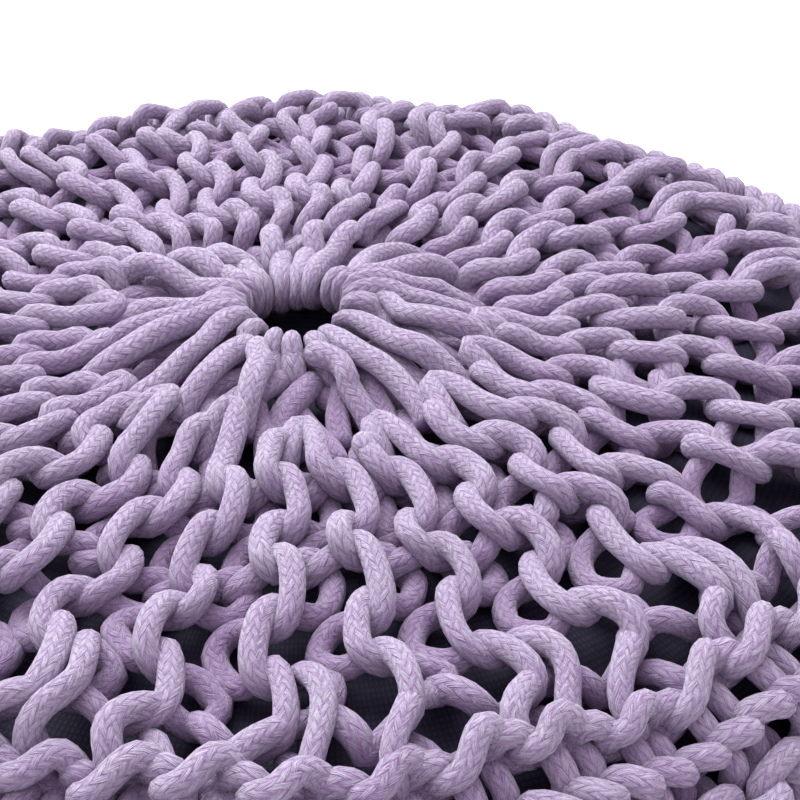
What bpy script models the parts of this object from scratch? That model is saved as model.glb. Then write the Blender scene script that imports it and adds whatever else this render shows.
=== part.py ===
"""Knitted pouf: a filled dark casing inside a cover knitted from thick braided cotton cord.

The cover is five pieces: a top and a bottom panel whose ridges run out from a gathered
centre, a side band whose ridges run round, and the two chains that join them.
Metres, +Z up, the origin on the floor under the middle of the pouf. Lengths named
in cords are multiples of the cord's diameter.
"""

import math

import bmesh
import bpy
import numpy as np

# Driving dimensions in metres
HEIGHT = 0.356
CORD = 0.0075  # diameter of the braided cord
GAP = 0.0006  # between the casing and the cover that lies on it
SEAM_GAP = 0.0006  # between a joining chain and the pieces that it joins

# Outline of the ridge tops, from the middle of the top: columns are the length of each
# section in cords and the slope at its end in degrees
CROWN = (
    (10.0, 0.8),
    (6.0, 2.0),
    (7.0, 5.0),
)
SHOULDER_RADIUS = 11.5  # cords
SIDE_LEAN = 5.0  # degrees from upright where the side meets a shoulder
PROFILE_STEP = 0.05  # cords

# Depths below the ridge tops, in cords
KNIT_DEPTH = 2.1
VALLEY = 1.25  # between two ridges
EDGE = 1.2
SPOKE_VALLEY = 0.2  # between the two ridges that one spoke carries

# The gathered centre, in cords from the middle
HOLE = 1.9
LIP = 4.3  # where the spokes start to bend down into the hole
DIMPLE = (  # columns: distance from the middle, extra depth of the casing under the knit
    (0.0, 1.3),
    (1.9, 1.3),
    (3.6, 0.8),
    (6.0, 0.0),
)
SPOKE_ROWS = (1.9, 3.6, 6.0)

# Ridges of the two panels
RIDGES = 36  # two to a spoke
PITCH = 2 * math.pi / RIDGES
TURN = math.radians(5.8)  # of the whole knit about the upright axis
CAP = 8.9  # cords from the middle to where each spoke parts into two ridges
HALF_STITCHES = 7  # along a ridge
SWING = 0.6  # cords that a ridge waves to each side
CREST = 0.5  # half the width of a ridge's top, in cords
WIDEST_CREST = 0.8  # of the space that a ridge has, where the ridges crowd at the hole
VALLEY_LEAN = 0.2  # share of the space between two ridges that its floor waves by
SPOKE_MERGE = 0.6  # how far a pair of ridges has closed up at the hole

# The edge of a panel, in cords
EDGE_RIDGE = 25.7  # from the middle to the ridge that runs round the panel
RIDGE_END = 1.2  # between the last stitch and the edge ridge
RIDGE_HALF = 0.5  # half the width of the edge ridge's top
EDGE_REACH = 1.35  # from the edge ridge to the panel's edge
CHAIN_STEP = 2.0  # from the edge ridge to the joining chain
CHAIN_HALF = CHAIN_STEP - EDGE_REACH  # half the slot that the chain fills
CHAIN_TOP = 0.1  # depth of the chain's top below the ridge tops

# Side band
SIDE_RIDGES = 13
FIRST_RIDGE = 0.25  # from the band's edge to its first ridge, as a share of the ridges' pitch
SIDE_COLUMNS = 48
CASING_ROWS = (1.9, 3.6, 6.0, 14.0, 22.0, 26.0, 30.0, 34.0, 38.5)  # cords from the middle

LILAC = (0.52, 0.43, 0.60, 1.0)
NAVY = (0.016, 0.016, 0.035, 1.0)


def outline(sections):
    """Arrays of length along the outline, slope, radius and drop, all in cords and radians."""
    ends = np.cumsum([0.0] + [run for run, _ in sections])
    slopes = np.radians([0.0] + [slope for _, slope in sections])
    count = int(round(ends[-1] / PROFILE_STEP)) + 1
    along = np.linspace(0.0, ends[-1], count)
    slope = np.interp(along, ends, slopes)
    middle = (slope[1:] + slope[:-1]) / 2
    step = along[1] - along[0]
    radius = np.concatenate([[0.0], np.cumsum(np.cos(middle)) * step])
    drop = np.concatenate([[0.0], np.cumsum(np.sin(middle)) * step])
    return along, slope, radius, drop


def full_outline():
    """The whole outline, with the straight side as long as HEIGHT needs and a flat base."""
    crown_slope = CROWN[-1][1]
    upper = math.radians(90 - SIDE_LEAN - crown_slope) * SHOULDER_RADIUS
    lower = math.radians(90 - SIDE_LEAN) * SHOULDER_RADIUS

    def sections(side):
        return CROWN + (
            (upper, 90 - SIDE_LEAN),
            (side, 90),
            (side, 90 + SIDE_LEAN),
            (lower, 180),
        )

    short = outline(sections(1.0))
    steepness = math.sin(math.radians(90 - SIDE_LEAN / 2))
    side = 1.0 + (HEIGHT / CORD - short[3][-1]) / (2 * steepness)
    radius = outline(sections(side))[2]
    return outline(sections(side) + ((radius[-1], 180),))


ALONG, SLOPE, RADIUS, DROP = full_outline()
LENGTH = ALONG[-1]  # from the middle of the top to the middle of the base


def place(angle, along, depth, below=False):
    """The point at an angle, this far from the middle of the top (or base) and below the ridges."""
    angle += TURN
    along = LENGTH - along if below else along
    slope = np.interp(along, ALONG, SLOPE)
    radius = np.interp(along, ALONG, RADIUS) - depth * math.sin(slope)
    height = DROP[-1] - np.interp(along, ALONG, DROP) - depth * math.cos(slope)
    return (
        CORD * radius * math.cos(angle),
        CORD * radius * math.sin(angle),
        CORD * height,
    )


def lip_drop(along):
    """How far the spokes have bent down at this distance from the middle."""
    inside = max(LIP - along, 0.0)
    reach = LIP - HOLE
    return reach - math.sqrt(max(reach**2 - inside**2, 0.0))


def knit_base(along):
    """Depth of the inner face of the knit."""
    distance, extra = zip(*DIMPLE)
    return KNIT_DEPTH + float(np.interp(along, distance, extra))


def pair_across(along, index):
    """The angle and depth of six columns across one spoke's pair of ridges, on one row."""
    merged = min(max((CAP - along) / (CAP - HOLE), 0.0), 1.0)
    centre = PITCH / 2 * (1 - SPOKE_MERGE * merged)
    half = min(CREST / along, WIDEST_CREST * centre)
    wave = -((-1) ** index) if along >= CAP else 0
    swing = wave * SWING / along
    lean = wave * VALLEY_LEAN * (PITCH - 2 * half)
    inner_valley = SPOKE_VALLEY if along < CAP else VALLEY
    across = (
        (-centre - half, 0.0),
        (-centre + half, 0.0),
        (lean, inner_valley),
        (centre - half, 0.0),
        (centre + half, 0.0),
        (PITCH + lean, VALLEY),
    )
    return [(angle + swing, depth) for angle, depth in across]


def even_angle(column):
    """The angle of a column where the panel's columns are evenly spread."""
    return (column + 1) * PITCH / 3


def panel_rows():
    """Rows from the hole outwards, in cords: the spokes, the ridges' bends, then the edge."""
    step = (EDGE_RIDGE - RIDGE_END - CAP) / HALF_STITCHES
    rows = list(SPOKE_ROWS) + [CAP + step * bend for bend in range(HALF_STITCHES + 1)]
    rows += [EDGE_RIDGE - RIDGE_HALF, EDGE_RIDGE + RIDGE_HALF, EDGE_RIDGE + EDGE_REACH]
    return rows


def panel_outer(below):
    """Rows of points over the ridges and valleys."""
    grid = []
    for index, along in enumerate(panel_rows()):
        if along < EDGE_RIDGE - RIDGE_HALF:
            across = []
            for spoke in range(RIDGES // 2):
                middle = (2 * spoke + 1) * PITCH
                pair = pair_across(along, index)
                across += [(middle + angle, depth) for angle, depth in pair]
        else:
            depth = EDGE if along > EDGE_RIDGE + RIDGE_HALF else 0.0
            across = [(even_angle(column), depth) for column in range(3 * RIDGES)]
        drop = lip_drop(along)
        grid.append([place(angle, along, depth + drop, below) for angle, depth in across])
    return grid


def panel_inner(rows, below):
    """Rows of points on the face that lies on the casing."""
    grid = []
    for along in rows:
        angles = map(even_angle, range(3 * RIDGES))
        grid.append([place(angle, along, knit_base(along), below) for angle in angles])
    return grid


def open_cells():
    """Cells of the panel's grid, as (row, column), that are gaps right through the knit.

    Each spoke has one at its cap, and each of its two ridges has one beside every other
    bend, on the side that the bend leans away from.
    """
    cells = set()
    first = len(SPOKE_ROWS)
    for spoke in range(RIDGES // 2):
        cells.add((first - 2, 6 * spoke + 4))
        for step in range(0, HALF_STITCHES, 2):
            side = 1 if step % 4 == 0 else 2
            cells.add((first + step, 6 * spoke + side))
            cells.add((first + step, 6 * spoke + 3 + side))
    return cells


def shell(name, outer, inner, material, cells=(), flip=False):
    """A closed ring-shaped skin between two grids of points, with some cells left open."""
    mesh = bmesh.new()
    out = [[mesh.verts.new(point) for point in row] for row in outer]
    base = [[mesh.verts.new(point) for point in row] for row in inner]
    columns = len(outer[0])
    last = len(outer) - 1

    def quad(a, b, c, d):
        mesh.faces.new((a, b, c, d))

    for row in range(last):
        for column in range(columns):
            after = (column + 1) % columns
            if (row, column) in cells:
                ring = ((row, column), (row + 1, column), (row + 1, after), (row, after))
                for (r0, c0), (r1, c1) in zip(ring, ring[1:] + ring[:1]):
                    quad(out[r0][c0], out[r1][c1], base[r1][c1], base[r0][c0])
                continue
            quad(out[row][column], out[row + 1][column], out[row + 1][after], out[row][after])
    for row in range(len(inner) - 1):
        for column in range(columns):
            if (row, column) in cells:
                continue
            after = (column + 1) % columns
            quad(base[row][column], base[row][after], base[row + 1][after], base[row + 1][column])
    for column in range(columns):
        after = (column + 1) % columns
        quad(out[0][after], base[0][after], base[0][column], out[0][column])
        quad(out[-1][column], base[-1][column], base[-1][after], out[-1][after])
    if flip:
        bmesh.ops.reverse_faces(mesh, faces=mesh.faces)
    return finish(name, mesh, material)


def finish(name, mesh, material):
    """The object of a mesh, shaded smooth apart from its ridge tops and valleys."""
    data = bpy.data.meshes.new(name)
    mesh.to_mesh(data)
    mesh.free()
    data.shade_smooth()
    data.set_sharp_from_angle(angle=math.radians(50))
    data.materials.append(material)
    thing = bpy.data.objects.new(name, data)
    bpy.context.scene.collection.objects.link(thing)
    return thing


def make_panel(name, material, below, gaps):
    """A panel with gaps needs its inner rows under its outer ones; a plain one needs fewer."""
    rows = panel_rows()
    outer = panel_outer(below)
    if gaps:
        return shell(name, outer, panel_inner(rows, below), material, open_cells(), below)
    few = [along for along in CASING_ROWS if along < rows[-1]] + rows[-1:]
    return shell(name, outer, panel_inner(few, below), material, (), below)


def make_chain(name, material, below):
    """The joining chain: a round-topped cord that fills the slot between two pieces."""
    half = CHAIN_HALF - SEAM_GAP / CORD
    section = (  # columns: offset along the outline, depth, both in cords
        (-half, KNIT_DEPTH),
        (-half, half),
        (0.0, CHAIN_TOP),
        (half, half),
        (half, KNIT_DEPTH),
    )
    middle = EDGE_RIDGE + CHAIN_STEP
    mesh = bmesh.new()
    rings = []
    for column in range(SIDE_COLUMNS):
        angle = column * 2 * math.pi / SIDE_COLUMNS
        ring = [place(angle, middle + offset, depth, below) for offset, depth in section]
        rings.append([mesh.verts.new(point) for point in ring])
    for ring, after in zip(rings, rings[1:] + rings[:1]):
        for a in range(len(section)):
            b = (a + 1) % len(section)
            mesh.faces.new((ring[a], ring[b], after[b], after[a]))
    bmesh.ops.recalc_face_normals(mesh, faces=mesh.faces)
    return finish(name, mesh, material)


def make_side_band(name, material):
    """The band's ridges run round it; the first and the last lie close to the chains."""
    start = EDGE_RIDGE + CHAIN_STEP + CHAIN_HALF
    pitch = (LENGTH - 2 * start) / (SIDE_RIDGES - 1 + 2 * FIRST_RIDGE)
    levels = [(start, EDGE)]  # columns: cords from the middle of the top, depth
    for ridge in range(SIDE_RIDGES):
        crest = start + (ridge + FIRST_RIDGE) * pitch
        if ridge > 0:
            levels.append((crest - pitch / 2, VALLEY))
        levels.append((crest, 0.0))
    levels.append((LENGTH - start, EDGE))
    upper = [start] + [along for along in CASING_ROWS if along > start]
    inner_rows = upper + [LENGTH - along for along in reversed(upper)]
    angles = [column * 2 * math.pi / SIDE_COLUMNS for column in range(SIDE_COLUMNS)]
    outer = [[place(angle, along, depth) for angle in angles] for along, depth in levels]
    inner = [[place(angle, along, KNIT_DEPTH) for angle in angles] for along in inner_rows]
    return shell(name, outer, inner, material)


def make_casing(name, material):
    """The filled inner cushion: closed, dished under the two gathered centres."""
    mesh = bmesh.new()
    extra = GAP / CORD
    angles = [column * 2 * math.pi / SIDE_COLUMNS for column in range(SIDE_COLUMNS)]
    rings = []
    for along in CASING_ROWS:
        depth = knit_base(along) + extra
        rings.append([mesh.verts.new(place(angle, along, depth)) for angle in angles])
    for along in reversed(CASING_ROWS):
        depth = knit_base(along) + extra
        rings.append([mesh.verts.new(place(angle, along, depth, True)) for angle in angles])
    for ring, below in zip(rings, rings[1:]):
        for column in range(SIDE_COLUMNS):
            after = (column + 1) % SIDE_COLUMNS
            mesh.faces.new((ring[column], below[column], below[after], ring[after]))
    mesh.faces.new(rings[0])
    mesh.faces.new(tuple(reversed(rings[-1])))
    return finish(name, mesh, material)


def make_material(name, colour, roughness):
    material = bpy.data.materials.new(name)
    material.use_nodes = True
    shader = material.node_tree.nodes["Principled BSDF"]
    shader.inputs["Base Color"].default_value = colour
    shader.inputs["Roughness"].default_value = roughness
    shader.inputs["Metallic"].default_value = 0.0
    material.diffuse_color = colour
    return material


def main():
    for thing in list(bpy.data.objects):
        bpy.data.objects.remove(thing)
    cotton = make_material("lilac_cotton", LILAC, 0.9)
    lining = make_material("navy_cloth", NAVY, 0.8)
    make_casing("casing", lining)
    make_panel("top_panel", cotton, below=False, gaps=True)
    make_panel("bottom_panel", cotton, below=True, gaps=False)
    make_side_band("side_band", cotton)
    make_chain("top_chain", cotton, below=False)
    make_chain("bottom_chain", cotton, below=True)


main()
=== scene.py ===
"""Looks of the knitted pouf: every cord of the cover, the woven casing, camera, light, floor.

Lengths are in cords (multiples of the cord's diameter) where nothing else is said. The cords
are placed on the pouf's outline, which repeats the numbers of the CAD part: "along" is the
length along it from the middle of the top (or base), "depth" is how far below it a point lies,
and "across" is how far it lies to the side of a ridge's middle.
"""

import math

import bpy
import numpy as np
from mathutils import Matrix, Vector

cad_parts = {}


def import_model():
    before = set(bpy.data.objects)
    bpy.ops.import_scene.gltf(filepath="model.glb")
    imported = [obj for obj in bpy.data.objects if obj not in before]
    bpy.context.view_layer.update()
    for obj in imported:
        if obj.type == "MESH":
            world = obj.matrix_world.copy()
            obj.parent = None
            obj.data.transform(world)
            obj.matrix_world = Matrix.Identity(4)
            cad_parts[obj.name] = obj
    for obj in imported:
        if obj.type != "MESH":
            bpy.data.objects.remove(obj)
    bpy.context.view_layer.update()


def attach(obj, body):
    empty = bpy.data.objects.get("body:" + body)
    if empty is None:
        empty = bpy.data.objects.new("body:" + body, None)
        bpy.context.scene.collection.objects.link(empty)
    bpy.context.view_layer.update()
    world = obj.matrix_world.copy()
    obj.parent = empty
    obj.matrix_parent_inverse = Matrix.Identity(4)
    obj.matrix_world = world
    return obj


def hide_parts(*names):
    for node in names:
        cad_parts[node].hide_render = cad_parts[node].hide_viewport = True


# The pouf, as in the CAD part
HEIGHT = 0.356  # metres
CORD = 0.0075  # metres, the diameter
CROWN = ((10.0, 0.8), (6.0, 2.0), (7.0, 5.0))  # columns: length, slope at its end in degrees
SHOULDER_RADIUS = 11.5
SIDE_LEAN = 5.0  # degrees
OUTLINE_STEP = 0.05
TURN = math.radians(5.8)  # of the cover about the pouf's axis
RIDGES = 36
PITCH = 2 * math.pi / RIDGES
EDGE_RIDGE = 25.65  # along
CHAIN_STEP = 2.18  # from the edge ridge to the joining chain
FIRST_BEND = 10.65  # along, the middle of a ridge's first bend
BEND = 2.25  # half a stitch along a ridge
SWING = 0.6  # how far a bend swings to the side of the ridge's middle
FRONT = 0.5  # depth of the middle of the cords on the face
BACK = 1.95  # depth of the middle of the cords against the casing
CASING_DEPTH = 2.55

# Side band
SIDE_RIDGES = 13
SIDE_STITCHES = 60
SIDE_START = 28.35  # along
SIDE_RADIUS = 33.0
FIRST_RIDGE = 0.5  # from the band's edge, in steps from ridge to ridge
SIDE_SPILL = 1.2  # how far its cords may pass its edges

EDGE_STITCHES = 58
CHAIN_STITCHES = 122
# Spokes round the gathered centre: T runs through, H starts as a hump beside a short cord,
# B does so further out, S is a short cord alone
SPOKES = "TTHTBBBBTHTTTHHSHTTHT"
FIRST_SPOKE = 0.75  # in steps from spoke to spoke
SPOKE_SCATTER = 0.10
SPOKE_END = 8.4
GATHER = (-0.26, 0.5, 0.15)  # how far off the panel's middle its centre is gathered

THICKNESS = 0.5  # radius of a cord in use
SPOKE_THICKNESS = 0.54  # where it is slack, round the gathered centre
EDGE_THICKNESS = 0.51  # where it is pulled tight in the edge and the chain
LOWEST = THICKNESS * 1.13  # height of a cord's middle that keeps it out of the floor

# Knit solver
CLEAR = 0.72  # distance that two cords' middles are pushed to: soft cords squeeze together
POINTS = 32  # to one stitch
ROUNDS = 160
PUSH = 0.3  # share of an overlap that is undone in one round
LARGEST_PUSH = 0.12
STIFFNESS = 0.1  # share of a kink that is undone in one round
HOLD = 0.02  # pull back to where a cord started
DEEPEST, SHALLOWEST = BACK + 0.15, FRONT - 0.05

# One row of a ridge from the middle of a bend (0) to the middle of the valley (1)
ROW_STEPS = (0.0, 0.1, 0.2, 0.3, 0.4, 0.5, 0.65, 1.0)
ROW_ACROSS = (1.2, 1.08, 0.65, 0.0, -0.75, -1.4, -2.0, -2.0)  # in swings
ROW_DEPTH = (0.0, 0.06, 0.21, 0.41, 0.6, 0.77, 0.89, 1.0)  # from FRONT to BACK
ACROSS_LAG = 0.07  # in half turns
DEPTH_LAG = 0.05

# Camera, fitted to the photograph, in its pixels
IMAGE = 800
FOCAL = 1500.0
HOLE = (297.0, 304.0)  # the middle of the pouf's top
CAMERA_DOWN = math.radians(34.2)
CAMERA_DISTANCE = 64.8 * CORD  # metres
SENSOR = 36.0  # millimetres

LIT_POINT = (0.0, 0.0, 0.25)  # metres
FLOOR_REACH = 30  # metres


def outline():
    """Arrays of length along the outline, slope, radius and drop."""

    def trace(sections):
        ends = np.cumsum([0.0] + [run for run, _ in sections])
        slopes = np.radians([0.0] + [slope for _, slope in sections])
        along = np.linspace(0.0, ends[-1], int(round(ends[-1] / OUTLINE_STEP)) + 1)
        slope = np.interp(along, ends, slopes)
        middle = (slope[1:] + slope[:-1]) / 2
        step = along[1] - along[0]
        radius = np.concatenate([[0.0], np.cumsum(np.cos(middle)) * step])
        drop = np.concatenate([[0.0], np.cumsum(np.sin(middle)) * step])
        return along, slope, radius, drop

    upper = math.radians(90 - SIDE_LEAN - CROWN[-1][1]) * SHOULDER_RADIUS
    lower = math.radians(90 - SIDE_LEAN) * SHOULDER_RADIUS

    def sections(side):
        return CROWN + (
            (upper, 90 - SIDE_LEAN),
            (side, 90),
            (side, 90 + SIDE_LEAN),
            (lower, 180),
        )

    trial = 1.0
    _, _, _, drop = trace(sections(trial))
    missing = HEIGHT / CORD - drop[-1]
    side = trial + missing / (2 * math.sin(math.radians(90 - SIDE_LEAN / 2)))
    _, _, radius, _ = trace(sections(side))
    return trace(sections(side) + ((radius[-1], 180),))


ALONG, SLOPE, RADIUS, DROP = outline()
LENGTH = ALONG[-1]


def on_outline(angle, along, depth, below=False):
    """Points at these angles, lengths from the middle of the top (or base) and depths."""
    along = LENGTH - along if below else along
    slope = np.interp(along, ALONG, SLOPE)
    radius = np.interp(along, ALONG, RADIUS) - depth * np.sin(slope)
    height = DROP[-1] - np.interp(along, ALONG, DROP) - depth * np.cos(slope)
    x, y = radius * np.cos(angle + TURN), radius * np.sin(angle + TURN)
    return np.stack(np.broadcast_arrays(x, y, height), -1)


def flat(angle, along, depth):
    """The same points on the panel laid flat: x and y in its plane, z is minus the depth."""
    radius = np.interp(along, ALONG, RADIUS)
    angle, depth = np.broadcast_arrays(angle, depth)
    return np.stack([radius * np.cos(angle), radius * np.sin(angle), -depth], -1)


def unflat(points, below=False):
    """Points of the flat panel put on the pouf."""
    radius = np.hypot(points[..., 0], points[..., 1])
    angle = np.arctan2(points[..., 1], points[..., 0])
    widest = int(np.argmax(RADIUS))
    along = np.interp(radius, RADIUS[:widest], ALONG[:widest])
    return on_outline(angle, along, -points[..., 2], below)


def spin(points, angle):
    """The points turned about the z axis."""
    c, s = math.cos(angle), math.sin(angle)
    return points @ np.array([[c, s, 0.0], [-s, c, 0.0], [0.0, 0.0, 1.0]])


# The knit: one stitch or ridge, relaxed, and copied round the pouf


def relax(strands, moves, shift=None):
    """Pushes the cords of one repeat of the knit off each other and off their moved copies.

    The first of the moves leaves them in place. A cord goes on into its own copy, moved by
    the shift, or without one it has two free ends.
    """
    start = strands.copy()
    for _ in range(ROUNDS):
        push = np.zeros_like(strands)
        for number, move in enumerate(moves):
            copies = move(strands)
            for one in range(len(strands)):
                for other in range(len(strands)):
                    if number == 0 and one == other:
                        continue
                    gap = strands[one][:, None] - copies[other][None]
                    dist = np.linalg.norm(gap, axis=-1) + 1e-9
                    near = np.clip(CLEAR - dist, 0.0, None) / dist
                    push[one] += PUSH * (gap * near[..., None]).sum(1)
        strands = strands + np.clip(push, -LARGEST_PUSH, LARGEST_PUSH)
        if shift is None:
            before = np.concatenate([strands[:, :1], strands[:, :-1]], 1)
            after = np.concatenate([strands[:, 1:], strands[:, -1:]], 1)
        else:
            before = np.concatenate([strands[:, -1:] - shift, strands[:, :-1]], 1)
            after = np.concatenate([strands[:, 1:], strands[:, :1] + shift], 1)
        straighter = (before + after) / 2 - strands
        strands = strands + STIFFNESS * straighter + HOLD * (start - strands)
        strands[..., 2] = np.clip(strands[..., 2], -DEEPEST, -SHALLOWEST)
    return strands


def garter_row(phase, span, valley):
    """One row of a garter ridge: length along the row, place across the ridge and depth.

    The cord is on the face where phase is an odd number of half turns, SWING to one side of
    the ridge's middle, and against the casing in the valley where it is even.
    """

    def off_bend(lag):
        return np.abs((phase / math.pi - lag) % 2.0 - 1.0)

    # How far the cord doubles back on itself, which is most on the face
    neck = 0.11 + 0.13 * (1 - np.cos(phase))
    along = span * (phase / math.pi + neck * np.sin(2 * phase))
    across = np.interp(off_bend(ACROSS_LAG), ROW_STEPS, ROW_ACROSS)
    depth = np.interp(off_bend(DEPTH_LAG), ROW_STEPS, ROW_DEPTH)
    deep = np.clip((off_bend(0.0) - 0.5) / 0.5, 0.0, 1.0)
    across = SWING * (across * (1 - deep) - deep) - valley * deep
    return along, across, FRONT + (BACK - FRONT) * depth


def ridge_unit():
    """The two cords of one ridge of a panel, relaxed, on the flat panel.

    The first bends to the right of the ridge and the second to its left.
    """
    phase = np.linspace(0.0, 8 * math.pi, 4 * POINTS + 1)

    def strand(side, start):
        radius = np.interp(start + phase / math.pi * BEND, ALONG, RADIUS)
        along, across, depth = garter_row(phase, BEND, radius * PITCH / 2)
        radius = np.interp(start + along, ALONG, RADIUS)
        return flat(side * across / radius, start + along, depth)

    strands = np.stack([strand(1, FIRST_BEND), strand(-1, FIRST_BEND - BEND - 0.25)])
    moves = [lambda points, turn=turn: spin(points, turn * PITCH) for turn in (0, -1, 1, -2, 2)]
    return relax(strands, moves)


def side_unit(width, pitch):
    """The two cords of one stitch of the side band: x along the row, y across, z minus depth."""
    phase = np.linspace(0.0, 2 * math.pi, POINTS, endpoint=False)
    rows = []
    for side, start in ((1, 0.0), (-1, width / 2)):
        along, across, depth = garter_row(phase, width / 2, pitch / 2)
        rows.append(np.stack([along + start, side * across, -depth], -1))
    moves = [(lambda p: p)]
    for dx in (-1, 0, 1):
        for dy in (-1, 0, 1):
            if (dx, dy) != (0, 0):
                moves.append(lambda p, v=(dx * width, dy * pitch, 0.0): p + np.array(v))
    return relax(np.stack(rows), moves, np.array([width, 0.0, 0.0]))


# Curves


def smooth_path(points, step):
    """A smooth curve through the points, with its points this far apart."""
    points = np.asarray(points, float)
    before = np.concatenate([2 * points[:1] - points[1:2], points[:-1]])
    after = np.concatenate([points[1:], 2 * points[-1:] - points[-2:-1]])
    slope = (after - before) / 2
    fine = []
    for t in np.linspace(0, 1, 8, endpoint=False):
        h = (2 * t**3 - 3 * t**2 + 1, t**3 - 2 * t**2 + t, 3 * t**2 - 2 * t**3, t**3 - t**2)
        fine.append(
            h[0] * points[:-1] + h[1] * slope[:-1] + h[2] * points[1:] + h[3] * slope[1:]
        )
    fine = np.stack(fine, 1).reshape(-1, 3)
    return even(np.concatenate([fine, points[-1:]]), step)


def even(points, step):
    """The same line with its points evenly spaced, about a step apart."""
    run = np.concatenate([[0.0], np.cumsum(np.linalg.norm(np.diff(points, axis=0), axis=1))])
    where = np.linspace(0.0, run[-1], max(int(run[-1] / step) + 1, 3))
    return np.stack([np.interp(where, run, points[:, axis]) for axis in range(3)], -1)


def close_smooth(points, step):
    """A smooth closed curve through the points, evenly spaced."""
    wrapped = np.concatenate([points[-3:], points, points[:4]])
    fine = smooth_path(wrapped, step / 2)
    start = np.argmin(np.linalg.norm(fine[: len(fine) // 4] - points[0], axis=1))
    tail_part = len(fine) * 3 // 4
    end = tail_part + np.argmin(np.linalg.norm(fine[tail_part:] - points[0], axis=1))
    loop = even(fine[start : end + 1], step)
    return loop[:-1]


class Unevenness:
    """A smooth, seeded wandering of the cords, as in hand knitting."""

    def __init__(self, seed, sizes):
        """The sizes are rows of how far the cords wander and the length of that wave."""
        rng = np.random.default_rng(seed)
        self.waves = []
        for amount, length in sizes:
            for _ in range(5):
                aim = rng.normal(size=3)
                aim *= 2 * math.pi / length / np.linalg.norm(aim)
                self.waves.append((amount / 2 * rng.normal(size=3), aim, rng.uniform(0, 6.28)))

    def __call__(self, points):
        moved = points.copy()
        for push, aim, turn in self.waves:
            moved += push * np.sin(points @ aim + turn)[..., None]
        return moved


def gather(path):
    """The spokes drawn to where the gathered centre really sits, a little off the middle.

    All of the move is made within 2.5 cords of the middle, and none beyond 7.5.
    """
    near = np.clip(1.5 - np.hypot(path[:, 0], path[:, 1]) / 5.0, 0.0, 1.0)[:, None]
    return path + near * np.array(GATHER)


# Cords as meshes


def cord_frame(path, closed):
    """Two directions square to the cord and to each other at each point, without twist."""
    count = len(path)
    if closed:
        tangent = np.roll(path, -1, 0) - np.roll(path, 1, 0)
    else:
        tangent = np.gradient(path, axis=0)
    tangent /= np.linalg.norm(tangent, axis=1)[:, None] + 1e-12
    side = np.empty_like(path)
    last = np.cross(tangent[0], (0.3, 0.5, 0.8))
    for k in range(count):
        last = last - tangent[k] * (last @ tangent[k])
        last = last / (math.sqrt(last @ last) + 1e-12)
        side[k] = last
    up = np.cross(tangent, side)
    if closed:
        drift = math.atan2(float(side[-1] @ up[0]), float(side[-1] @ side[0]))
        fix = -drift * np.arange(count) / count
        side, up = (
            side * np.cos(fix)[:, None] + up * np.sin(fix)[:, None],
            up * np.cos(fix)[:, None] - side * np.sin(fix)[:, None],
        )
    return side, up


def cord_radius(path, thickness, turn, closed, rng):
    """The cord's radius at each point of the path and each turn about it.

    Cords are squeezed thinner where they are gathered, near the pouf's axis, and pulled a
    little thinner towards the edge. They vary along their length, and open ones are a little
    squashed, to a side that changes along them.
    """
    place = np.arange(len(path))
    from_axis = np.hypot(path[:, 0], path[:, 1])
    wide = thickness * np.clip(from_axis / 3.7 + 0.08, 0.5, 1.0)
    wide = wide * np.interp(from_axis, (11.0, 20.0), (1.0, 0.92))
    wide = wide * (1 + 0.05 * np.sin(place * 0.21 + rng.uniform(0, 6)))
    lean = rng.uniform(0, 6) + place * 0.35
    squash = 1 + 0.06 * np.cos(2 * turn[None] - lean[:, None])
    if closed:
        squash[:] = 1.0
    return wide[:, None] * squash


def sunk_depth(path, skin):
    """How far each point of the path lies from the outline, given as rows of radius, height."""
    level = np.stack([np.hypot(path[:, 0], path[:, 1]), path[:, 2]], -1)
    return np.linalg.norm(level[:, None] - skin[None], axis=-1).min(1)


def tube_quads(rows, count, sides):
    """The faces round a tube, as rows of four vertex numbers."""
    here = np.arange(rows)[:, None] * sides
    there = (np.arange(rows)[:, None] + 1) % count * sides
    column = np.arange(sides)[None]
    beside = (column + 1) % sides
    quad = np.stack([here + column, here + beside, there + beside, there + column], -1)
    return quad.reshape(-1, 4)


def tube_map(path, rows, sides, start):
    """The UV map of those faces: length along the cord from this start, share of a turn."""
    hops = np.linalg.norm(np.diff(np.concatenate([path, path[:1]]), axis=0), axis=1)
    run = np.concatenate([[0.0], np.cumsum(hops)]) + start
    low = np.repeat(run[:rows, None], sides, 1)
    high = np.repeat(run[1 : rows + 1, None], sides, 1)
    left = np.repeat(np.arange(sides)[None] / sides, rows, 0)
    right = left + 1 / sides
    corners = [(low, left), (low, right), (high, right), (high, left)]
    return np.stack([np.stack(corner, -1) for corner in corners], 2).reshape(-1, 2)


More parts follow.
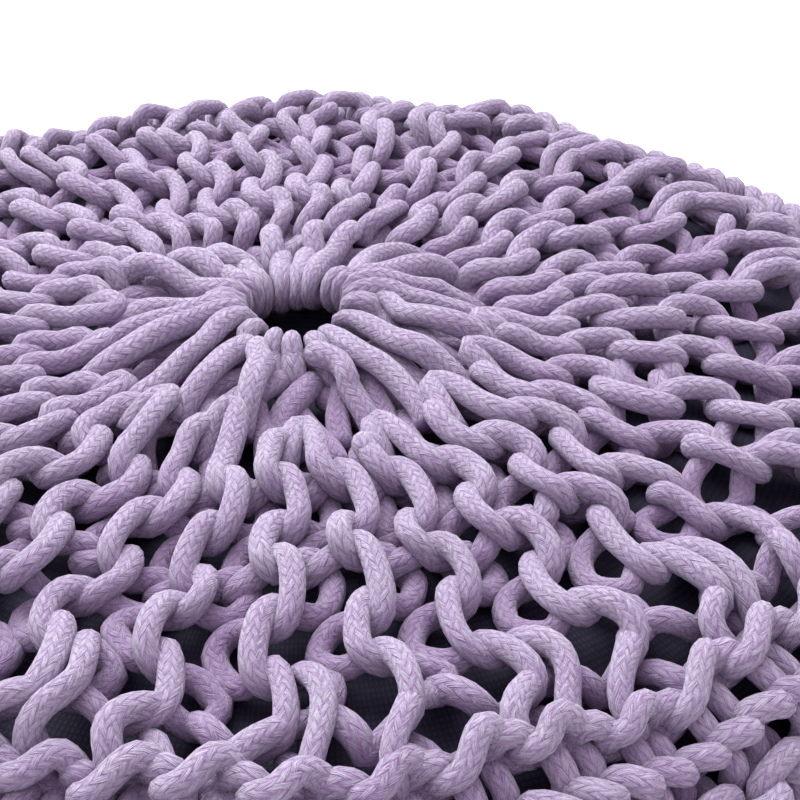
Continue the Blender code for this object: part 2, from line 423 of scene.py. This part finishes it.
def tube_mesh(name, paths, material, sides, closed=False, thickness=THICKNESS):
    """One object of round cords, with the length and the turn about each cord as its UV map,
    and how deep each spot lies as its sunk value, which the cotton uses to paint shade on the
    deeper cords.
    """
    rng = np.random.default_rng(len(paths))
    spots, quads, ends, maps, sunk = [], [], [], [], []
    skin = np.stack([RADIUS, DROP[-1] - DROP], -1)[::8]
    offset = 0
    turn = np.linspace(0, 2 * math.pi, sides, endpoint=False)
    for path in paths:
        count = len(path)
        rows = count if closed else count - 1
        path[:, 2] = np.maximum(path[:, 2], LOWEST)
        side, up = cord_frame(path, closed)
        ring = side[:, None] * np.cos(turn)[:, None] + up[:, None] * np.sin(turn)[:, None]
        radius = cord_radius(path, thickness, turn, closed, rng)
        spots.append((path[:, None] + ring * radius[..., None]).reshape(-1, 3))
        sunk.append(np.repeat(sunk_depth(path, skin), sides))
        quads.append(tube_quads(rows, count, sides) + offset)
        maps.append(tube_map(path, rows, sides, round(rng.uniform(0, 8))))
        if not closed:
            ends.append(offset + np.arange(sides)[::-1])
            ends.append(offset + (count - 1) * sides + np.arange(sides))
        offset += count * sides
    spots = np.concatenate(spots) * CORD
    quads = np.concatenate(quads)
    maps = np.concatenate(maps + [np.zeros((len(ends) * sides, 2))])
    corners = np.concatenate([quads.reshape(-1)] + ends)
    sizes = np.concatenate([np.full(len(quads), 4), np.full(len(ends), sides)]).astype(int)
    mesh = bpy.data.meshes.new(name)
    mesh.vertices.add(len(spots))
    mesh.vertices.foreach_set("co", spots.reshape(-1))
    mesh.loops.add(len(corners))
    mesh.loops.foreach_set("vertex_index", corners)
    mesh.polygons.add(len(sizes))
    mesh.polygons.foreach_set("loop_start", np.concatenate([[0], np.cumsum(sizes)[:-1]]))
    mesh.update(calc_edges=True)
    mesh.uv_layers.new(name="braid").data.foreach_set("uv", maps.reshape(-1))
    layer = mesh.attributes.new("sunk", "FLOAT", "POINT")
    layer.data.foreach_set("value", np.concatenate(sunk))
    mesh.shade_smooth()
    mesh.validate()
    return add_object(name, mesh, material)


def add_object(name, mesh, material):
    """An object of this mesh and material in the scene."""
    mesh.materials.append(material)
    thing = bpy.data.objects.new(name, mesh)
    bpy.context.scene.collection.objects.link(thing)
    return thing


# Materials


class Nodes:
    """Short names for building a material out of maths nodes."""

    def __init__(self, name):
        self.material = bpy.data.materials.new(name)
        self.material.use_nodes = True
        self.tree = self.material.node_tree
        self.shader = self.tree.nodes["Principled BSDF"]

    def node(self, kind, **settings):
        made = self.tree.nodes.new(kind)
        for key, value in settings.items():
            setattr(made, key, value)
        return made

    def feed(self, socket, value):
        if isinstance(value, bpy.types.NodeSocket):
            self.tree.links.new(value, socket)
        else:
            socket.default_value = value

    def set(self, **values):
        """Sets the shader's own sockets, with _ for each space in their names."""
        for key, value in values.items():
            self.shader.inputs[key.replace("_", " ")].default_value = value

    def math(self, operation, first, second=0.0):
        made = self.node("ShaderNodeMath", operation=operation)
        self.feed(made.inputs[0], first)
        self.feed(made.inputs[1], second)
        return made.outputs[0]

    def add(self, first, second):
        return self.math("ADD", first, second)

    def less(self, first, second):
        return self.math("SUBTRACT", first, second)

    def times(self, first, second):
        return self.math("MULTIPLY", first, second)

    def noise(self, where, scale, detail=2.0):
        made = self.node("ShaderNodeTexNoise")
        self.feed(made.inputs["Vector"], where)
        self.feed(made.inputs["Scale"], scale)
        self.feed(made.inputs["Detail"], detail)
        return made.outputs["Fac"]

    def between(self, share, first, second):
        made = self.node("ShaderNodeMix", data_type="RGBA")
        self.feed(made.inputs["Factor"], share)
        self.feed(made.inputs[6], first)
        self.feed(made.inputs[7], second)
        return made.outputs[2]

    def ramp(self, value, low, high):
        made = self.node("ShaderNodeMapRange")
        self.feed(made.inputs["Value"], value)
        self.feed(made.inputs["From Min"], low)
        self.feed(made.inputs["From Max"], high)
        return made.outputs["Result"]

    def bump(self, height, strength, distance):
        made = self.node("ShaderNodeBump")
        self.feed(made.inputs["Height"], height)
        self.feed(made.inputs["Strength"], strength)
        self.feed(made.inputs["Distance"], distance)
        return made.outputs[0]


def braided_cotton(name, light, shade):
    """Braided cord: carriers that cross two over, two under, each of a few parallel plies."""
    carriers_around, carriers_along = 12.0, 2.3  # to one turn, to one cord's diameter
    plies = 7.0  # to one carrier
    n = Nodes(name)
    uv = n.node("ShaderNodeSeparateXYZ")
    n.feed(uv.inputs[0], n.node("ShaderNodeUVMap", uv_map="braid").outputs[0])
    place = n.node("ShaderNodeTexCoord").outputs["Object"]
    pull = n.times(n.less(n.noise(place, 160.0, 1.0), 0.5), 0.8)
    length = n.times(uv.outputs[0], carriers_along)
    around = n.add(n.times(uv.outputs[1], carriers_around), pull)
    one = n.add(around, length)
    two = n.less(around, length)

    def hump(value):
        """0 at 0 and 1, and 1 halfway."""
        return n.times(n.times(value, n.less(1.0, value)), 4.0)

    def carrier(mine, other, start):
        """Place in the two over, two under; height of the carrier; height of its plies."""
        across = n.math("FRACT", mine)
        spot = n.math("FLOORED_MODULO", n.add(n.math("FLOOR", mine), other), 4.0)
        along = n.times(n.less(spot, start), 0.5)
        crown = n.add(n.times(hump(along), 0.55), 0.45)
        body = n.times(n.math("POWER", hump(across), 0.4), crown)
        thread = n.node("ShaderNodeCombineXYZ")
        n.feed(thread.inputs[0], n.times(mine, plies))
        n.feed(thread.inputs[1], n.times(other, 0.6))
        n.feed(thread.inputs[2], start)
        return spot, body, n.less(n.noise(thread.outputs[0], 1.0, 1.0), 0.5)

    spot, body_one, ply_one = carrier(one, two, 0.0)
    _, body_two, ply_two = carrier(two, one, 2.0)
    top = n.math("LESS_THAN", spot, 2.0)

    def pick(first, second):
        """The value of the carrier that lies on top."""
        return n.add(n.times(first, top), n.times(second, n.less(1.0, top)))

    body = pick(body_one, body_two)
    ply = pick(ply_one, ply_two)
    fluff = n.noise(place, 1500.0, 3.0)
    cloudy = n.noise(place, 45.0, 2.0)
    height = n.add(n.add(body, n.times(ply, 1.7)), n.times(fluff, 0.5))
    # The colour runs from the shade colour to the light colour. The carrier's height paints shade
    # in the crevices between carriers and light on their crowns. The plies, fluff and cloudy
    # patches are the cotton's own tone
    shown = n.add(n.times(body, 0.7), n.times(ply, 2.0))
    shown = n.add(shown, n.times(n.less(fluff, 0.35), 0.9))
    shown = n.add(shown, n.times(n.less(cloudy, 0.5), 0.5))
    colour = n.between(n.ramp(shown, 0.0, 1.0), shade, light)
    # Painted shade: the deeper a spot lies below the outline, the more its colour is mixed towards
    # the shade colour, in place of the shade and purple bounced light among the cords
    sunk = n.node("ShaderNodeAttribute", attribute_name="sunk").outputs["Fac"]
    colour = n.between(n.times(n.ramp(sunk, 0.7, 1.8), 0.55), colour, shade)
    n.feed(n.shader.inputs["Base Color"], colour)
    n.feed(n.shader.inputs["Normal"], n.bump(height, 0.85, 0.0006))
    n.set(Roughness=0.95, Specular_IOR_Level=0.15)
    n.set(Sheen_Weight=0.45, Sheen_Roughness=0.5, Sheen_Tint=(0.85, 0.80, 0.92, 1.0))
    return n.material


def woven_cloth(name, light, shade):
    """Plain weave: threads that cross one over, one under, one to each unit of the UV map."""
    n = Nodes(name)
    uv = n.node("ShaderNodeSeparateXYZ")
    n.feed(uv.inputs[0], n.node("ShaderNodeTexCoord").outputs["UV"])
    one = n.times(uv.outputs[0], math.pi)
    two = n.times(uv.outputs[1], math.pi)
    weave = n.math("ABSOLUTE", n.times(n.math("SINE", one), n.math("COSINE", two)))
    shown = n.add(weave, n.noise(n.node("ShaderNodeTexCoord").outputs["Object"], 300.0))
    # Painted shade in the weave: the colour darkens towards the shade colour between the threads
    # and lightens on them, with random tone from the noise
    n.feed(n.shader.inputs["Base Color"], n.between(n.ramp(shown, 0.2, 1.5), shade, light))
    n.feed(n.shader.inputs["Normal"], n.bump(weave, 0.6, 0.0003))
    n.set(Roughness=0.85, Specular_IOR_Level=0.25)
    return n.material


# Casing

CASING_DISH = ((0.0, 1.6), (2.0, 1.4), (3.6, 0.7), (6.0, 0.0))  # columns: along, extra depth
CASING_COLUMNS = 96
CASING_RADIUS = 34.0  # where the threads round it have their right width
CASING_THREAD = 0.09 * math.pi  # width of a thread


def make_casing(material):
    """The filled inner cushion, dished at both gathered centres."""
    fine = np.arange(0.4, 8.0, 0.8)
    along = np.concatenate([fine, np.arange(8.0, LENGTH - 8.0, 1.2), LENGTH - fine[::-1]])
    angles = np.linspace(0, 2 * math.pi, CASING_COLUMNS, endpoint=False)
    distance, extra = zip(*CASING_DISH)
    depth = CASING_DEPTH + np.interp(np.minimum(along, LENGTH - along), distance, extra)
    grid = on_outline(angles[None], along[:, None], depth[:, None])
    rows, columns = grid.shape[:2]
    points = [tuple(p) for p in grid.reshape(-1, 3) * CORD]
    faces = [list(range(columns))[::-1], [(rows - 1) * columns + c for c in range(columns)]]
    for row in range(rows - 1):
        for column in range(columns):
            after = (column + 1) % columns
            here, there = row * columns, (row + 1) * columns
            faces.append([here + column, here + after, there + after, there + column][::-1])
    mesh = bpy.data.meshes.new("filled_casing")
    mesh.from_pydata(points, [], faces)
    layer = mesh.uv_layers.new(name="weave")
    threads = 1 / CASING_THREAD
    for face in mesh.polygons[2:]:
        first = face.vertices[0] % columns
        for corner in face.loop_indices:
            vertex = mesh.loops[corner].vertex_index
            row, column = divmod(vertex, columns)
            column = columns if column == 0 and first > 1 else column
            turns = column / columns * 2 * math.pi * CASING_RADIUS
            layer.data[corner].uv = (turns * threads, along[row] * threads)
    mesh.shade_smooth()
    return add_object("filled_casing", mesh, material)


# Panels: rows of degrees from the middle of the ridge or spoke, cords from the middle of the
# panel, depth

# How the second cord of a ridge comes up at its inner end, plainly or as a cap across it
INNER_LEAD = ((1.5, 8.6, 1.6), (0.6, 8.9, 1.0), (-1.2, 9.2, 0.6), (-2.8, 9.7, 0.46))
CAP_LEAD = (
    (-9.2, 10.2, 1.5),
    (-8.9, 9.5, 0.95),
    (-7.9, 8.7, 0.52),
    (-5.8, 8.15, 0.42),
    (-3.6, 8.35, 0.42),
    (-2.8, 9.2, 0.45),
)
# How the first and the second cord end, under the edge ridge
BACK_END = (
    (-2.6, 23.7, 1.7),
    (-3.4, 23.4, 1.35),
    (-4.4, 23.0, 1.15),
    (-5.5, 22.6, 1.3),
    (-6.4, 22.3, 1.8),
)
LEG_END = (
    (4.4, 22.3, 1.8),
    (2.6, 22.6, 1.45),
    (1.4, 22.8, 1.0),
    (0.5, 23.15, 0.62),
    (-0.8, 23.65, 0.45),
    (-1.7, 24.2, 0.45),
    (-1.9, 24.7, 0.65),
    (-1.6, 25.05, 1.0),
    (-1.3, 25.4, 1.6),
)
# The short cords beside those ends
DEEP_LEG = (
    (0.9, 23.7, 1.9),
    (1.5, 24.1, 1.45),
    (2.2, 24.7, 1.35),
    (2.7, 25.2, 1.5),
    (2.8, 25.6, 1.9),
)
SECOND_LEG = (
    (2.4, 20.5, 1.75),
    (3.0, 20.8, 1.15),
    (4.0, 21.4, 0.7),
    (4.5, 22.2, 0.55),
    (4.1, 23.0, 0.5),
    (3.3, 23.7, 0.52),
    (2.7, 24.4, 0.62),
    (2.5, 24.9, 0.95),
    (2.5, 25.4, 1.6),
)
# The cords that cross under a spoke
BELOW_SPOKE = [
    ((8.0, 3.6, 2.0), (7.0, 4.3, 1.65), (0.0, 5.6, 1.5), (-7.0, 6.8, 1.5), (-9.0, 7.9, 1.8)),
    ((-7.0, 4.6, 2.1), (-4.0, 5.6, 1.95), (1.0, 6.8, 1.9), (6.0, 8.0, 1.7), (8.0, 9.0, 1.9)),
    ((-2.0, 7.6, 2.2), (-5.0, 8.6, 1.8), (-6.0, 9.6, 1.7), (-3.0, 10.6, 1.8), (1.0, 11.4, 2.1)),
]


def polar_points(table, centre, drift=0.0):
    """A path from rows of (degrees from the centre angle, cords from the middle, depth).

    It drifts this many degrees to the side by its end.
    """
    rows = np.array(table, float)
    degrees = rows[:, 0] + np.linspace(0.0, drift, len(rows))
    return flat(centre + np.radians(degrees), rows[:, 1], rows[:, 2])


def panel_paths(unit, step, seed):
    """The cords of a panel's ridges, and those of its spokes, on the flat panel."""
    right_bends, left_bends = unit
    rng = np.random.default_rng(seed)
    half_turn = POINTS // 2
    paths, spokes = [], []
    for ridge in range(RIDGES):
        centre = (ridge + 0.5) * PITCH
        capped = ridge % 2 == 1
        behind = math.sin(centre) > 0.2  # on the far side, where no ridge starts with a cap
        body = spin(right_bends[: 5 * half_turn + half_turn // 2], centre)
        end = polar_points(BACK_END, centre)
        paths.append(smooth_path(np.concatenate([body[::2], end]), step))
        body = spin(left_bends[half_turn : 6 * half_turn], centre)
        lead = polar_points(CAP_LEAD if capped and not behind else INNER_LEAD, centre)
        end = polar_points(LEG_END, centre, rng.normal() * 0.8)
        paths.append(smooth_path(np.concatenate([lead, body[::2], end]), step))
        paths.append(smooth_path(polar_points(DEEP_LEG, centre, rng.normal() * 0.8), step))
        if not capped:
            paths.append(smooth_path(polar_points(SECOND_LEG, centre, rng.normal() * 0.5), step))
    for number, kind in enumerate(SPOKES):
        place = number + FIRST_SPOKE + SPOKE_SCATTER * rng.normal()
        middle = 2 * math.pi * place / len(SPOKES)
        for table in spoke_tables(rng, kind, number % 2):
            spokes.append(smooth_path(polar_points(table, middle), step))
    return paths, spokes


def spoke_tables(rng, kind, odd):
    """The cords of one spoke, and three that cross below it."""
    lean = rng.normal(size=3) * 1.5
    far = SPOKE_END + 0.5 * rng.normal()
    throat = (
        (0.0, 3.4, 1.8),
        (0.0, 2.8, 1.45),
        (0.0, 2.45, 1.05),
        (0.0, 2.33, 0.65),
        (0.0, 2.42, 0.3),
        (lean[0] * 0.5, 2.75, 0.08),
        (lean[0], 3.3, 0.06),
    )
    outer = (
        (lean[1], 4.9, 0.45),
        (lean[1] * 0.6, 6.1, 0.42),
        (lean[1] * 0.3, far - 1.1, 0.5),
        (lean[2] * 0.5, far - 0.1, 0.95),
        (lean[2] * 0.5, far + 0.8, 1.6),
    )
    if kind == "T":
        return [throat + ((lean[0], 3.9, 0.2),) + outer] + BELOW_SPOKE
    side = 5.0 if odd else -5.0
    if kind == "B":
        short = (
            (lean[0], 3.8, 0.3),
            (lean[0], 4.6, 0.5),
            (lean[0], 5.0, 0.9),
            (lean[0], 5.1, 1.6),
        )
        start = ((side, 4.1, 1.6), (side, 4.4, 1.1), (side * 0.8, 4.9, 0.6))
        return [throat + short, start + outer[1:]] + BELOW_SPOKE
    short = ((lean[0], 3.5, 0.6), (-side * 0.4, 4.1, 1.1), (-side * 0.6, 4.4, 1.7))
    if kind == "S":
        return [throat + short] + BELOW_SPOKE
    start = ((side, 3.2, 1.7), (side, 3.2, 1.0), (side, 3.45, 0.5), (side * 0.9, 4.1, 0.3))
    return [throat + short, start + outer] + BELOW_SPOKE


# Edge ridge and joining chain: rows of share of the pitch, cords from the ridge, depth

# One bend of the edge ridge
EDGE_UNIT = (
    (0.43, -0.42, 1.30),
    (0.38, -0.55, 0.80),
    (0.27, -0.55, 0.46),
    (0.14, -0.32, 0.40),
    (0.03, 0.02, 0.40),
    (-0.08, 0.32, 0.42),
    (-0.20, 0.50, 0.46),
    (-0.32, 0.48, 0.78),
    (-0.37, 0.32, 1.35),
    (-0.20, 0.10, 1.95),
    (0.40, 0.00, 1.95),
    (0.90, -0.10, 1.95),
    (1.25, -0.20, 1.80),
)
# What shows of the cord between two bends
LINK_UNIT = (
    (-0.72, -0.36, 1.75),
    (-0.62, -0.30, 1.35),
    (-0.52, -0.24, 0.95),
    (-0.42, -0.20, 0.82),
    (-0.32, -0.14, 0.98),
    (-0.22, -0.06, 1.40),
    (-0.05, 0.00, 1.75),
)
# A stitch between the ridge and the chain, and between the chain and the side band
LEG_UNIT = (
    (-0.12, -0.8, 1.6),
    (-0.11, -0.3, 1.05),
    (-0.11, 0.4, 1.00),
    (-0.06, 0.9, 1.7),
    (0.18, 0.9, 1.8),
    (0.27, 0.4, 1.40),
    (0.27, -0.3, 1.40),
    (0.30, -0.8, 1.8),
    (0.55, -0.8, 1.8),
)
# One link of the joining chain
CHAIN_UNIT = (
    (-0.44, -0.20, 1.15),
    (-0.32, -0.22, 0.72),
    (-0.12, -0.12, 0.50),
    (0.14, 0.06, 0.42),
    (0.34, 0.18, 0.46),
    (0.46, 0.20, 0.82),
    (0.44, 0.06, 1.30),
)
INNER_LEGS = 1.15  # from the edge ridge to the stitches between it and the chain
OUTER_LEGS = CHAIN_STEP + 0.7  # from the edge ridge to those between the chain and the band


def ring_path(count, unit, along, below=False):
    """A closed cord round the pouf, from one repeat's rows of share of the pitch, along, depth."""
    unit = np.array(unit, float)
    turns = np.arange(count)[:, None]
    angle = ((turns + unit[None, :, 0]) * 2 * math.pi / count).reshape(-1)
    return on_outline(angle, along + np.tile(unit[:, 1], count), np.tile(unit[:, 2], count), below)


def edge_paths(step, below):
    """The cords of the edge ridge and its legs, and the cord of the joining chain."""
    edge = [
        ring_path(EDGE_STITCHES, EDGE_UNIT, EDGE_RIDGE, below),
        ring_path(EDGE_STITCHES, LINK_UNIT, EDGE_RIDGE, below),
        ring_path(EDGE_STITCHES, LEG_UNIT, EDGE_RIDGE + INNER_LEGS, below),
        ring_path(EDGE_STITCHES, LEG_UNIT, EDGE_RIDGE + OUTER_LEGS, below),
    ]
    chain = ring_path(CHAIN_STITCHES, CHAIN_UNIT, EDGE_RIDGE + CHAIN_STEP, below)
    return [close_smooth(path, step) for path in edge], [close_smooth(chain, step)]


def side_paths(step):
    """The cords of the side band, two to a ridge, from the top down."""
    pitch = (LENGTH - 2 * SIDE_START) / (SIDE_RIDGES - 1 + 2 * FIRST_RIDGE)
    width = 2 * math.pi * SIDE_RADIUS / SIDE_STITCHES
    unit = side_unit(width, pitch)
    paths = []
    for ridge in range(SIDE_RIDGES):
        crest = SIDE_START + (ridge + FIRST_RIDGE) * pitch
        for row in unit:
            turns = np.arange(SIDE_STITCHES)[:, None]
            angle = ((turns + row[None, :, 0] / width) * 2 * math.pi / SIDE_STITCHES).reshape(-1)
            along = crest + np.tile(row[:, 1], SIDE_STITCHES)
            along = np.clip(along, SIDE_START - SIDE_SPILL, LENGTH - SIDE_START + SIDE_SPILL)
            path = on_outline(angle, along, np.tile(-row[:, 2], SIDE_STITCHES))
            paths.append(close_smooth(path, step))
    return paths


# Studio


def add_camera():
    """The camera that took the photograph."""
    ahead = np.array([0.0, math.cos(CAMERA_DOWN), -math.sin(CAMERA_DOWN)])
    up = np.array([0.0, math.sin(CAMERA_DOWN), math.cos(CAMERA_DOWN)])
    right = np.array([1.0, 0.0, 0.0])
    middle = IMAGE / 2
    aim = ahead + right * (HOLE[0] - middle) / FOCAL + up * (middle - HOLE[1]) / FOCAL
    camera = bpy.data.objects.new("camera", bpy.data.cameras.new("camera"))
    camera.data.sensor_width = SENSOR
    camera.data.lens = FOCAL / IMAGE * SENSOR
    camera.data.clip_start = 0.01
    frame = Matrix((right, up, -ahead)).transposed().to_4x4()
    frame.translation = np.array([0.0, 0.0, HEIGHT]) - CAMERA_DISTANCE * aim
    camera.matrix_world = frame
    bpy.context.scene.collection.objects.link(camera)
    bpy.context.scene.camera = camera


def add_light(name, kind, spot, power, **settings):
    """A light at this spot that shines on the pouf."""
    light = bpy.data.lights.new(name, kind)
    light.energy = power
    for key, value in settings.items():
        setattr(light, key, value)
    thing = bpy.data.objects.new(name, light)
    thing.location = spot
    thing.rotation_mode = "QUATERNION"
    thing.rotation_quaternion = (Vector(LIT_POINT) - Vector(spot)).to_track_quat("-Z", "Y")
    bpy.context.scene.collection.objects.link(thing)


def add_floor():
    """A plain pale floor."""
    n = Nodes("pale_floor")
    n.set(Base_Color=(0.93, 0.93, 0.93, 1.0), Roughness=0.9, Specular_IOR_Level=0.1)
    far = FLOOR_REACH
    mesh = bpy.data.meshes.new("floor")
    corners = [(-far, -far, 0), (far, -far, 0), (far, far, 0), (-far, far, 0)]
    mesh.from_pydata(corners, [], [(0, 1, 2, 3)])
    floor = add_object("floor", mesh, n.material)


def add_world():
    """Soft light from all sides."""
    world = bpy.data.worlds.new("studio")
    world.use_nodes = True
    sky = world.node_tree.nodes["Background"]
    sky.inputs["Color"].default_value = (1.0, 0.94, 1.03, 1.0)
    sky.inputs["Strength"].default_value = 0.98
    bpy.context.scene.world = world
    bpy.context.scene.view_settings.view_transform = "Standard"


def main():
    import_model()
    lilac = (0.418, 0.360, 0.480, 1)
    # The second colour of the cotton is its painted shade, for the crevices of the braid and the
    # deeper cords
    cotton = braided_cotton("lilac_cotton_braid", lilac, (0.198, 0.096, 0.250, 1))
    # The second colour of the cloth is its painted shade between the threads
    cloth = woven_cloth("navy_cloth_weave", (0.028, 0.023, 0.050, 1), (0.011, 0.009, 0.023, 1))
    uneven = Unevenness(3, ((0.26, 9.0), (0.18, 5.0), (0.07, 3.0)))
    unit = ridge_unit()
    pieces = []

    casing = make_casing(cloth)
    pieces.append((casing, "casing"))

    def cords(name, paths, sides, node, place=lambda path: path, **settings):
        """One piece made of these cords, which show instead of the CAD node."""
        paths = [place(uneven(path)) for path in paths]
        pieces.append((tube_mesh(name, paths, cotton, sides, **settings), node))

    def on_centre(path):
        return unflat(gather(path))

    ring = {"closed": True, "thickness": EDGE_THICKNESS}
    knit, spokes = panel_paths(unit, 0.33, 5)
    cords("top_knit", knit, 12, "top_panel", unflat)
    cords("top_spokes", spokes, 12, "top_panel", on_centre, thickness=SPOKE_THICKNESS)
    edge, chain = edge_paths(0.3, False)
    cords("top_edge_ridge", edge, 10, "top_panel", **ring)
    cords("top_joining_chain", chain, 10, "top_chain", **ring)
    side = side_paths(0.5)
    for number in range(3):
        part = side[number * 9 : number * 9 + 9]
        cords(f"side_knit_{number}", part, 7, "side_band", closed=True)
    knit, spokes = panel_paths(unit, 0.5, 6)
    cords("bottom_knit", knit + spokes, 6, "bottom_panel", lambda path: unflat(path, True))
    edge, chain = edge_paths(0.5, True)
    cords("bottom_edge_ridge", edge, 6, "bottom_panel", **ring)
    cords("bottom_joining_chain", chain, 6, "bottom_chain", **ring)

    for piece, node in pieces:
        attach(piece, "root")
        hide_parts(node)
        print(piece.name, len(piece.data.polygons), [round(v, 3) for v in piece.dimensions])

    add_floor()
    add_world()
    add_camera()
    white = (1.0, 1.07, 1.0)
    add_light("key", "SUN", (-0.3, 0.95, 1.9), 2.7, angle=math.radians(50), color=white)
    add_light("softbox", "AREA", (-0.5, 0.6, 1.0), 16.5, shape="DISK", size=1.2, color=white)


main()
